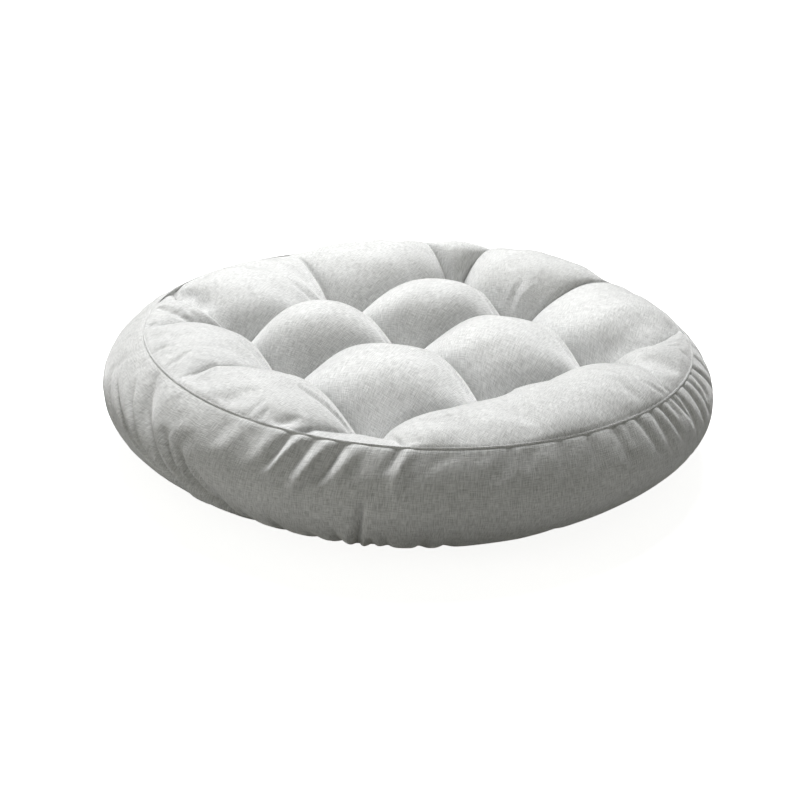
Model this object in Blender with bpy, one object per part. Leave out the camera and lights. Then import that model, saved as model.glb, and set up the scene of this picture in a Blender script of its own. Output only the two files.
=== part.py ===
"""Round tufted floor cushion, 40 cm across, lying flat on its foot.

Metres, +Z up. The origin is at the middle of the foot and the front is towards -Y.
A round top panel is seamed to a side band and drawn down at nine tufts in a 3 x 3 grid. That leaves
four full domes between the tufts and a ring of twelve puffs between the grid and the seam.

The top panel is laid out in grid coordinates (s, t): the tufts are at -1, 0 and 1 both ways, the seam
is where the larger of |s| and |t| is 2, and each unit square is one dome or a share of a rim puff.
"""

from collections import namedtuple
from math import atan2, cos, exp, floor, pi, radians, sin, sqrt

import bmesh
import bpy
from mathutils import Vector

# --- Driving sizes -------------------------------------------------------------------------------
DIAMETER = 0.400  # over the belly, averaged round the cushion
BELLY_HEIGHT = 0.039  # height at which the side stands out furthest
FOOT_RADIUS = 0.138  # the flat that lies on the floor
FOOT_CORNERS, FOOT_CORNERS_DEG = 0.050, 272.0  # share by which its outline is squared, with a corner here
OVAL, OVAL_DEG = 0.030, 130.0  # share by which the plan is longer along this direction
LOBE, LOBE_DEG = 0.012, 23.0  # share by which it is three-cornered

SEAM_RADIUS = 0.1775
SEAM_HEIGHT = 0.071
SEAM_SLANT, SEAM_SLANT_DEG = 0.004, 180.0  # the seam rides higher towards this direction
SEAM_SHIFT = Vector((0.007, -0.003, 0.0))  # its ring lies a little off the middle
SEAM_RIDGE = 0.0014  # the two turned-in edges stand up this far
SEAM_GROOVE = 0.0016  # and lie in a groove this deep
GROOVE_REACH = 0.005

BAND_GIRTH = 0.120  # seam to foot, along the cloth
BELLY_AT = 0.33  # share of that way at which the side stands out furthest
BAND_TOP_DEG = 20.0  # phase of the side's curve at the seam: it is 0 at the belly, -90 at the foot
BAND_TOP_FACING = 50.0  # degrees above level that the cloth faces just under the seam

TUFT_PITCH = 0.091
TUFT_TURN = -58.0  # degrees from +X to the grid's own first direction
TUFT_CENTRE = Vector((0.006, 0.002, 0.0))
TUFT_HEIGHT = 0.040  # floor to the stitched-down cloth
SADDLE_HEIGHT = 0.051  # a channel's highest place between two tufts
CHANNEL_SWELL = 0.8  # how fast a channel climbs out of its tuft

CREASE_TOP_AT = 0.75  # share of the way from tuft to seam at which a rim crease is highest
CREASE_FADE = 0.25  # share of the way over which a short crease dies out
ROUNDNESS = 0.5  # 0.5 gives a puff an elliptical section with a sharp channel each side

# --- Tables --------------------------------------------------------------------------------------
# Tufts sit where the hand-pulled stitch drew them: millimetres off the even grid, along its own
# first (along) and second (across) directions.
Tuft = namedtuple("Tuft", "column row along across")
TUFTS = (
    Tuft(-1, -1, 6, 3),
    Tuft(0, -1, -9, 1),
    Tuft(1, -1, 11, -2),
    Tuft(-1, 0, 2, -4),
    Tuft(0, 0, -14, 5),
    Tuft(1, 0, 5, -2),
    Tuft(-1, 1, 2, 1),
    Tuft(0, 1, -13, 3),
    Tuft(1, 1, 3, -9),
)

# The four domes between the tufts, by the grid square they fill, with the height of their crown.
Dome = namedtuple("Dome", "column row crown")
DOMES = (
    Dome(-1, -1, 0.0812),
    Dome(-1, 0, 0.0800),
    Dome(0, -1, 0.0762),
    Dome(0, 0, 0.0772),
)

# The twelve rim puffs, round from the grid's first direction. Each starts at a crease that meets the
# seam at starts_deg (plan angle from +X) and runs in to a tuft; the crease's top lies drop below the
# crowns beside it, and where runs is under 1 it dies out at that share of the way from tuft to seam.
# The puff is crown high at the share crest_at of that way.
RimPuff = namedtuple("RimPuff", "name starts_deg drop runs crown crest_at")
RIM_PUFFS = (
    RimPuff("front right", -67.0, 0.006, 0.4, 0.0815, 0.60),
    RimPuff("right corner", -34.0, 0.006, 1.0, 0.0790, 0.60),
    RimPuff("right", 2.0, 0.006, 1.0, 0.0790, 0.60),
    RimPuff("back right", 33.0, 0.006, 1.0, 0.0860, 0.60),
    RimPuff("back corner", 68.0, 0.005, 1.0, 0.0835, 0.60),
    RimPuff("back", 89.0, 0.003, 1.0, 0.0850, 0.60),
    RimPuff("back left", 121.0, 0.006, 1.0, 0.0800, 0.60),
    RimPuff("left corner", 157.0, 0.006, 1.0, 0.0790, 0.60),
    RimPuff("left", 182.0, 0.006, 1.0, 0.0805, 0.60),
    RimPuff("front left", 213.0, 0.006, 1.0, 0.0800, 0.60),
    RimPuff("front corner", 246.0, 0.006, 1.0, 0.0690, 0.80),
    RimPuff("front", 268.5, 0.004, 1.0, 0.0770, 0.60),
)

# Folds in the side band: where they start (plan angle), how far down from the seam they start and end
# (shares of the band), how wide, how proud (+) or deep (-), and how far they lean round as they run.
Fold = namedtuple("Fold", "at_deg start end wide rise lean_deg")
FOLDS = (
    # pleats over the belly on the left
    Fold(194.0, 0.12, 0.46, 0.013, -0.0018, 20.0),
    Fold(203.0, 0.14, 0.46, 0.012, 0.0012, 14.0),
    Fold(207.5, 0.04, 0.46, 0.014, -0.0026, 11.0),
    Fold(213.0, 0.03, 0.46, 0.016, 0.0022, 13.0),
    Fold(222.0, 0.18, 0.50, 0.013, -0.0016, 10.0),
    Fold(230.0, 0.22, 0.56, 0.013, -0.0014, 6.0),
    # folds that hang from the seam at the front left
    Fold(237.0, 0.00, 0.17, 0.018, 0.0012, -0.5),
    Fold(243.5, 0.00, 0.17, 0.012, -0.0016, 0.5),
    Fold(247.2, 0.00, 0.22, 0.012, 0.0020, -1.5),
    Fold(251.0, 0.00, 0.20, 0.011, -0.0018, -1.5),
    Fold(254.2, 0.00, 0.32, 0.012, 0.0022, -2.5),
    Fold(257.0, 0.00, 0.26, 0.011, -0.0020, -3.0),
    Fold(260.0, 0.00, 0.24, 0.014, 0.0018, -1.5),
    Fold(265.0, 0.00, 0.16, 0.010, -0.0010, -1.0),
    Fold(268.0, 0.00, 0.20, 0.011, 0.0016, -0.5),
    # gathers under the belly at the front
    Fold(258.0, 0.34, 0.74, 0.012, -0.0014, 2.0),
    Fold(263.8, 0.26, 0.80, 0.013, -0.0024, -0.5),
    Fold(268.5, 0.38, 0.78, 0.012, -0.0012, 0.0),
    Fold(272.5, 0.36, 0.76, 0.012, -0.0012, 0.5),
    # gathers under the seam on the right
    Fold(307.0, 0.00, 0.18, 0.011, -0.0012, 0.5),
    Fold(313.8, 0.00, 0.24, 0.012, -0.0014, 0.5),
    Fold(318.5, 0.00, 0.26, 0.011, -0.0014, 0.5),
    Fold(323.0, 0.00, 0.28, 0.011, -0.0016, 1.0),
    Fold(327.5, 0.00, 0.34, 0.012, -0.0018, 2.5),
    Fold(332.0, 0.00, 0.32, 0.012, -0.0018, 1.5),
    Fold(336.8, 0.00, 0.32, 0.012, -0.0018, 1.5),
    Fold(342.0, 0.00, 0.30, 0.012, -0.0016, -1.5),
    Fold(348.5, 0.02, 0.28, 0.012, -0.0014, 0.0),
    # gentle gathers round the back
    Fold(20.0, 0.02, 0.40, 0.018, -0.0014, 2.0),
    Fold(75.0, 0.02, 0.44, 0.018, -0.0018, -3.0),
    Fold(104.0, 0.02, 0.36, 0.016, -0.0014, 2.0),
    Fold(128.0, 0.02, 0.44, 0.018, -0.0016, -4.0),
    Fold(160.0, 0.04, 0.50, 0.018, -0.0018, 4.0),
)
FOLD_FULLNESS = 0.7  # under 1, a fold keeps its depth nearly to its ends

# --- Fineness of the mesh ------------------------------------------------------------------------
STEPS = 12  # lines in each unit square of the top panel
LINE_EASE = 0.55  # share by which those lines crowd towards the channels
BAND_ROWS = 14  # rows of faces between the seam and the foot
BAND_ROW_EASE = 1.3  # over 1, those rows crowd towards the seam


# --- The plan ------------------------------------------------------------------------------------
def plan_scale(at_deg):
    """How far the outline stands out at this plan angle, as a share of a circle's radius."""
    oval = OVAL * cos(radians(2 * (at_deg - OVAL_DEG)))
    lobe = LOBE * cos(radians(3 * (at_deg - LOBE_DEG)))
    return 1 + oval + lobe


def outward(at_deg):
    """The level direction that points away from the middle at this plan angle."""
    return Vector((cos(radians(at_deg)), sin(radians(at_deg)), 0))


def outline(radius, at_deg):
    """A point of the outline of this mean radius, at height 0."""
    return outward(at_deg) * radius * plan_scale(at_deg)


def foot_edge(at_deg):
    """A point of the edge of the foot."""
    squared = 1 + FOOT_CORNERS * cos(radians(4 * (at_deg - FOOT_CORNERS_DEG)))
    return outline(FOOT_RADIUS, at_deg) * squared


def seam_point(at_deg):
    height = SEAM_HEIGHT + SEAM_SLANT * cos(radians(at_deg - SEAM_SLANT_DEG))
    return outline(SEAM_RADIUS, at_deg) + SEAM_SHIFT + Vector((0, 0, height))


def tuft_point(column, row):
    """Where the tuft in this column and row of the grid is stitched."""
    tuft = next(one for one in TUFTS if (one.column, one.row) == (column, row))
    along = column * TUFT_PITCH + tuft.along / 1000
    across = row * TUFT_PITCH + tuft.across / 1000
    turn = radians(TUFT_TURN)
    on_plan = Vector((along * cos(turn) - across * sin(turn), along * sin(turn) + across * cos(turn), 0))
    return on_plan + TUFT_CENTRE + Vector((0, 0, TUFT_HEIGHT))


# --- Heights over the top panel ------------------------------------------------------------------
def mix(first, second, share):
    return first + (second - first) * share


def smooth(share):
    held = min(max(share, 0.0), 1.0)
    return held * held * (3 - 2 * held)


def arch(share):
    """0 at both ends and 1 in the middle, with an elliptical section."""
    return max(4 * share * (1 - share), 0.0) ** ROUNDNESS


def channel_height(share):
    """Height of the channel between two tufts, this share of the way along it."""
    return mix(TUFT_HEIGHT, SADDLE_HEIGHT, max(sin(pi * share), 0.0) ** (2 * CHANNEL_SWELL))


def dome_height(across, along, crown):
    """Height of a dome at shares across and along its grid square."""
    between = 1 - (cos(pi * across) * cos(pi * along)) ** 2
    floor = mix(TUFT_HEIGHT, SADDLE_HEIGHT, between**CHANNEL_SWELL)
    return floor + (crown - SADDLE_HEIGHT) * arch(across) * arch(along)


def puff_section(out, start, crown, crest_at, seam):
    """Height of a rim puff's middle line: up from its channel to the crown, then over to the seam."""
    if out <= crest_at:
        return mix(start, crown, sqrt(1 - (1 - out / crest_at) ** 2))
    return mix(crown, seam, ((out - crest_at) / (1 - crest_at)) ** 2)


def crease_section(out, before, puff, seam):
    """Height of the crease between two rim puffs, this share of the way from its tuft to the seam."""
    crown = (before.crown + puff.crown) / 2
    climb = mix(TUFT_HEIGHT, crown - puff.drop, sin(pi / 2 * min(out / CREASE_TOP_AT, 1)))
    over = max(out - CREASE_TOP_AT, 0) / (1 - CREASE_TOP_AT)
    height = mix(climb, seam, over**2)
    if puff.runs >= 1:
        return height
    whole = puff_section(out, TUFT_HEIGHT, crown, (before.crest_at + puff.crest_at) / 2, seam)
    return mix(height, whole, smooth((out - puff.runs) / CREASE_FADE + 1))


def puff_height(share, out, channel, puff, seam):
    """Height of a rim puff: share is 0 at its starting crease and 1 at the next puff's."""
    first = crease_section(out, neighbour(puff, -1), puff, seam)
    last = crease_section(out, puff, neighbour(puff, 1), seam)
    crease = mix(first, last, share)
    return mix(crease, puff_section(out, channel, puff.crown, puff.crest_at, seam), arch(share))


def seam_groove(away):
    """How far the cloth is drawn down, this far away from the seam."""
    return SEAM_GROOVE * exp(-((away / GROOVE_REACH) ** 2))


# --- From grid coordinates to the surface --------------------------------------------------------
def crowded(place):
    """The same place in the grid with its line moved towards the nearest channel."""
    place = round(place * STEPS) / STEPS
    square = min(floor(place), 1)
    share = place - square
    return square + mix(share, sin(pi / 2 * share) ** 2, LINE_EASE)


def neighbour(puff, step):
    """The rim puff this many places further round."""
    return RIM_PUFFS[(RIM_PUFFS.index(puff) + step) % len(RIM_PUFFS)]


def rim_angle(puff, share):
    """Plan angle on the seam, this share of the way round the puff."""
    return puff.starts_deg + share * ((neighbour(puff, 1).starts_deg - puff.starts_deg) % 360)


def rim_place(s, t):
    """For a place outside the tufts: its puff, the shares round and out of it, and its two tufts."""
    turns = 0
    while not (s > 1 and t >= -1):
        s, t = t, -s
        turns += 1
    if t > 1:
        puff = RIM_PUFFS[3 * turns + 1]
        share = atan2(t - 1, s - 1) / (pi / 2)
        out = max(s, t) - 1
        tufts = ((1, 1), (1, 1))
    else:
        half = 0 if t < 0 else 1
        puff = RIM_PUFFS[3 * turns + half - 1]
        share = t + 1 - half
        out = s - 1
        tufts = ((1, half - 1), (1, half))
    for _ in range(turns):
        tufts = tuple((-row, column) for column, row in tufts)
    return puff, share, out, tufts


def top_point(s, t):
    """The point of the top panel at these grid coordinates, and its plan angle where it is on the rim."""
    if max(abs(s), abs(t)) <= 1:
        column, row = min(int(s + 1), 1) - 1, min(int(t + 1), 1) - 1
        across, along = s - column, t - row
        near = mix(tuft_point(column, row), tuft_point(column + 1, row), across)
        far = mix(tuft_point(column, row + 1), tuft_point(column + 1, row + 1), across)
        point = mix(near, far, along)
        crown = next(one.crown for one in DOMES if (one.column, one.row) == (column, row))
        point.z = dome_height(across, along, crown)
        return point, 0.0
    puff, share, out, (first, last) = rim_place(s, t)
    at_deg = rim_angle(puff, share)
    inner = mix(tuft_point(*first), tuft_point(*last), share)
    seam = seam_point(at_deg)
    point = mix(inner, seam, out)
    channel = TUFT_HEIGHT if first == last else channel_height(share)
    away = (1 - out) * (seam - inner).length
    point.z = puff_height(share, out, channel, puff, seam.z) - seam_groove(away)
    return point, at_deg


# --- The side band -------------------------------------------------------------------------------
def fold_rise(at_deg, down):
    """How far the band's folds stand out here: down is 0 at the seam and 1 at the foot."""
    rise = 0.0
    for fold in FOLDS:
        along = (down - fold.start) / (fold.end - fold.start)
        if not 0 < along < 1:
            continue
        middle = fold.at_deg + fold.lean_deg * along
        aside = radians((at_deg - middle + 180) % 360 - 180) * DIAMETER / 2
        rise += fold.rise * sin(pi * along) ** FOLD_FULLNESS * exp(-((2 * aside / fold.wide) ** 2))
    return rise


def band_point(at_deg, down):
    """A point of the side, from just under the seam (down = 0) to the edge of the foot (down = 1)."""
    belly = outline(DIAMETER / 2, at_deg)
    if down < BELLY_AT:
        above = 1 - down / BELLY_AT
        phase, top = radians(BAND_TOP_DEG * above), radians(BAND_TOP_DEG)
        facing_up = radians(BAND_TOP_FACING * above)
        seam = seam_point(at_deg)
        point = mix(belly, Vector((seam.x, seam.y, 0)), (1 - cos(phase)) / (1 - cos(top)))
        point.z = mix(BELLY_HEIGHT, seam.z, sin(phase) / sin(top)) - seam_groove(down * BAND_GIRTH)
    else:
        phase = pi / 2 * (down - BELLY_AT) / (1 - BELLY_AT)
        facing_up = -phase
        point = mix(foot_edge(at_deg), belly, cos(phase))
        point.z = BELLY_HEIGHT * (1 - sin(phase))
    facing = outward(at_deg) * cos(facing_up) + Vector((0, 0, sin(facing_up)))
    return point + facing * fold_rise(at_deg, down)


def ridge_top(at_deg):
    """The top of the seam's pinched ridge, standing up and out of its groove."""
    return seam_point(at_deg) + outward(at_deg) * SEAM_RIDGE + Vector((0, 0, SEAM_RIDGE - SEAM_GROOVE))


def ridge_foot(at_deg):
    """The outer foot of the ridge, where the band starts."""
    sunk = SEAM_GROOVE + SEAM_RIDGE
    return seam_point(at_deg) + outward(at_deg) * 2 * SEAM_RIDGE - Vector((0, 0, sunk))


# --- The skin ------------------------------------------------------------------------------------
def add_row(mesh, loop, angle, place):
    """Extrude the open edge loop once and put each new point where place() says for its plan angle."""
    grown = bmesh.ops.extrude_edge_only(mesh, edges=loop)["geom"]
    for vert in grown:
        if isinstance(vert, bmesh.types.BMVert):
            vert.co = place(vert[angle])
    return [edge for edge in grown if isinstance(edge, bmesh.types.BMEdge) and edge.is_boundary]


def cushion_mesh():
    """The whole skin: the top panel's grid, the seam's ridge, the side band and the flat foot."""
    mesh = bmesh.new()
    angle = mesh.verts.layers.float.new("plan angle")
    bmesh.ops.create_grid(mesh, x_segments=4 * STEPS, y_segments=4 * STEPS, size=2.0)
    for vert in mesh.verts:
        vert.co, vert[angle] = top_point(crowded(vert.co.x), crowded(vert.co.y))
    loop = [edge for edge in mesh.edges if edge.is_boundary]
    loop = add_row(mesh, loop, angle, ridge_top)
    loop = add_row(mesh, loop, angle, ridge_foot)
    for row in range(1, BAND_ROWS + 1):
        down = (row / BAND_ROWS) ** BAND_ROW_EASE
        loop = add_row(mesh, loop, angle, lambda at_deg, down=down: band_point(at_deg, down))
    bmesh.ops.contextual_create(mesh, geom=loop)
    centre(mesh)
    bmesh.ops.recalc_face_normals(mesh, faces=mesh.faces)
    return mesh


def centre(mesh):
    """Slide the mesh so that the middle of its outline is over the origin."""
    for axis in (0, 1):
        places = [vert.co[axis] for vert in mesh.verts]
        middle = (min(places) + max(places)) / 2
        for vert in mesh.verts:
            vert.co[axis] -= middle


# --- Materials and the object --------------------------------------------------------------------
def linen():
    """Light grey linen-look cloth."""
    material = bpy.data.materials.new("light grey linen")
    material.use_nodes = True
    shader = material.node_tree.nodes["Principled BSDF"]
    shader.inputs["Base Color"].default_value = (0.60, 0.61, 0.60, 1.0)
    shader.inputs["Roughness"].default_value = 0.9
    shader.inputs["Metallic"].default_value = 0.0
    shader.inputs["Sheen Weight"].default_value = 0.2
    return material


def clear_scene():
    for item in list(bpy.data.objects):
        bpy.data.objects.remove(item, do_unlink=True)


def main():
    clear_scene()
    collection = bpy.data.collections.new("tufted floor cushion")
    bpy.context.scene.collection.children.link(collection)
    data = bpy.data.meshes.new("cushion")
    skin = cushion_mesh()
    skin.to_mesh(data)
    skin.free()
    data.shade_smooth()
    data.materials.append(linen())
    collection.objects.link(bpy.data.objects.new("cushion", data))


main()
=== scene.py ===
"""Looks of a round tufted floor cushion, 40 cm across, in light grey linen-look cloth.

The cover is worked out the way it is sewn: a round top panel drawn down at nine tufts, a pinched seam,
a side band eased into that seam, and an underside panel. Sizes are metres, or millimetres where a name
ends in mm, in the part's own frame: +Z up, the origin under the middle of the foot, the front towards
-Y. Plan angles are degrees anticlockwise from +X. The top panel is laid out in grid coordinates (s, t):
the tufts are at -1, 0 and 1 both ways and the seam is where the larger of |s| and |t| is 2. The band is
laid out by plan angle and by the share of the way down from the seam (0) to the edge of the foot (1).
"""

import logging
from dataclasses import dataclass, field
from enum import Enum
from typing import NamedTuple

import bpy
import numpy as np
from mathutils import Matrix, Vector


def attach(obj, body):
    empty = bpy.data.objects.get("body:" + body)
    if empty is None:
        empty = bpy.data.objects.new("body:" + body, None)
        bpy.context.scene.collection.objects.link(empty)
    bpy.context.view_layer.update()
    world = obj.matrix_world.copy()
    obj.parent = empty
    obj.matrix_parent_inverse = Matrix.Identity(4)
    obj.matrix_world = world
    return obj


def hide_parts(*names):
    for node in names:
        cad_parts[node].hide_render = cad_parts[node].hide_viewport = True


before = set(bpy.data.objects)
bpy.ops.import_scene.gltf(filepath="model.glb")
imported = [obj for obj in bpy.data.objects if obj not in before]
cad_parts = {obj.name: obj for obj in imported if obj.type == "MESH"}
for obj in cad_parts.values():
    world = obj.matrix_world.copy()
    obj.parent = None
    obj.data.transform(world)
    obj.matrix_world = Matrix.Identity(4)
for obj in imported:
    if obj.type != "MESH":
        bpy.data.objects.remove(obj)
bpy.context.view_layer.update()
CAD_NODE = "cushion"

log = logging.getLogger("cushion")
Field = np.ndarray  # one number, or one point, for each of many places at once
Node = bpy.types.Node
MM = 1000  # millimetres to a metre
TINY = 1e-9  # keeps a direction defined where a length is nothing
ON_LINE = 1e-6  # places this close to a grid line lie on it
SEAM_AT = 2  # the seam's grid coordinate


# --- Small sums that every piece uses ------------------------------------------------------------
def mix(first: Field | float, second: Field | float, share: Field | float) -> Field:
    """The value this share of the way from the first to the second."""
    return first + (second - first) * share


def smooth(share: Field) -> Field:
    """0 up to 0, 1 from 1 on, and an S-shaped rise between."""
    held = np.clip(share, 0.0, 1.0)
    return held * held * (3 - 2 * held)


def bell(away: Field, wide: float, power: float = 2.0) -> Field:
    """1 at no distance and a third at half this width away; a lower power is sharper in the middle."""
    return np.exp(-(np.abs(2 * away / wide) ** power))


def turned(points: Field, degrees: float) -> Field:
    """Turn plan points about the origin.

    Args:
        points: points (x, y).
        degrees: how far to turn them, anticlockwise.

    Returns:
        The turned points.
    """
    angle = np.radians(degrees)
    x, y = points[..., 0], points[..., 1]
    return np.stack([x * np.cos(angle) - y * np.sin(angle), x * np.sin(angle) + y * np.cos(angle)], -1)


@dataclass(frozen=True)
class Ripple:
    """Smooth unevenness: plane waves of about one length, in fixed directions and phases."""

    length: float
    height: float
    seed: int
    waves: int = 28
    spread: float = 0.45

    def over(self, places: Field) -> Field:
        """How high the ripple is at each place.

        Args:
            places: points (x, y) in metres.

        Returns:
            One height for each point, in metres, mostly within plus or minus self.height.
        """
        draw = np.random.default_rng(self.seed)
        total = np.zeros(places.shape[:-1])
        for _ in range(self.waves):
            way = draw.uniform(0, 2 * np.pi)
            count = 2 * np.pi / (self.length * draw.uniform(1 - self.spread, 1 + self.spread))
            phase = draw.uniform(0, 2 * np.pi)
            total += np.cos(count * (places[..., 0] * np.cos(way) + places[..., 1] * np.sin(way)) + phase)
        return total * self.height / np.sqrt(self.waves)


# --- The plan ------------------------------------------------------------------------------------
@dataclass(frozen=True)
class Plan:
    """The cushion's outlines seen from above, slightly oval and three-cornered."""

    diameter: float = 0.400
    oval: float = 0.030  # share of its radius that it is longer one way and shorter the other
    oval_deg: float = 130.0
    lobe: float = 0.012  # share of its radius that three corners stand out
    lobe_deg: float = 23.0
    off_middle: tuple[float, float] = (0.0004, -0.0020)  # the outline's middle, in the plan's own terms

    def outward(self, at_deg: Field) -> Field:
        """The level direction away from the middle at each plan angle."""
        angle = np.radians(at_deg)
        return np.stack([np.cos(angle), np.sin(angle), np.zeros_like(angle)], -1)

    def outline(self, radius: Field | float, at_deg: Field) -> Field:
        """Points of an outline, at height 0.

        Args:
            radius: the outline's mean radius.
            at_deg: plan angle of each point.

        Returns:
            The points, before the plan is centred.
        """
        oval = self.oval * np.cos(np.radians(2 * (at_deg - self.oval_deg)))
        lobe = self.lobe * np.cos(np.radians(3 * (at_deg - self.lobe_deg)))
        return self.outward(at_deg) * (radius * (1 + oval + lobe))[..., None]

    def placed(self, points: Field) -> Field:
        """The same points with the outline's middle over the origin."""
        return points - np.array([*self.off_middle, 0.0])


@dataclass(frozen=True)
class SeamLine:
    """The line where the top panel meets the side band."""

    plan: Plan
    radius: float = 0.1775
    height: float = 0.071
    slant: float = 0.004
    slant_deg: float = 180.0
    shift: tuple[float, float] = (0.007, -0.003)  # how far its middle is from the plan's
    groove: float = 0.0007  # how deep the cloth is drawn down beside it
    groove_reach: float = 0.0014

    def points(self, at_deg: Field) -> Field:
        """Points of the seam.

        Args:
            at_deg: plan angle of each point.

        Returns:
            The points, before the plan is centred.
        """
        ring = self.plan.outline(np.full_like(at_deg, self.radius), at_deg)
        ring[..., 0] += self.shift[0]
        ring[..., 1] += self.shift[1]
        ring[..., 2] = self.height + self.slant * np.cos(np.radians(at_deg - self.slant_deg))
        return ring

    def sunk(self, away: Field) -> Field:
        """How far the cloth is drawn down, this far away from the seam."""
        return self.groove * np.exp(-((away / self.groove_reach) ** 2))


# --- The top panel -------------------------------------------------------------------------------
class Tuft(NamedTuple):
    """One tuft: its place in the grid, and how far off the even grid the stitch drew it, in mm."""

    column: int
    row: int
    along: float
    across: float


class Dome(NamedTuple):
    """One full dome between four tufts, by its grid square, with the height of its crown."""

    column: int
    row: int
    crown: float
    roundness: float  # 0.5 is an elliptical section; less has a flatter top and steeper sides


class RimPuff(NamedTuple):
    """One puff of the ring between the grid and the seam.

    It starts at a crease that meets the seam at starts_deg and runs in to a tuft. The crease's top lies
    drop below the crowns beside it, and where runs is under 1 it dies out at that share of the way from
    tuft to seam, and halfway it is bowed round by bow_mm. The puff is crown high at the share crest_at
    of that way.
    """

    name: str
    starts_deg: float
    drop: float
    runs: float
    crown: float
    crest_at: float
    bow_mm: float = 0.0


class LooseSpan(NamedTuple):
    """A stretch of the seam with loose cloth beside it: its middle and width, and how loose it is."""

    at_deg: float
    wide_deg: float
    ease: float


class Wrinkle(NamedTuple):
    """A ridge (+) or trough (-) in the top panel, on a curve through three places of the grid."""

    start: tuple[float, float]
    middle: tuple[float, float]
    end: tuple[float, float]
    wide_mm: float
    rise_mm: float


class Swell(NamedTuple):
    """A broad rise (+) or dip (-) of the filling under one place of the grid."""

    s: float
    t: float
    wide_mm: float
    rise_mm: float


def loose_round(spans: tuple[LooseSpan, ...], least: float, at_deg: Field) -> Field:
    """How loose the cloth is beside the seam.

    Args:
        spans: the stretches with loose cloth.
        least: how loose the cloth is away from them.
        at_deg: plan angle of each place.

    Returns:
        The looseness of each place, from 0 to 1.
    """
    ease = np.full(at_deg.shape, least)
    for span in spans:
        ease += span.ease * bell((at_deg - span.at_deg + 180) % 360 - 180, span.wide_deg)
    return np.minimum(ease, 1.0)


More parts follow.
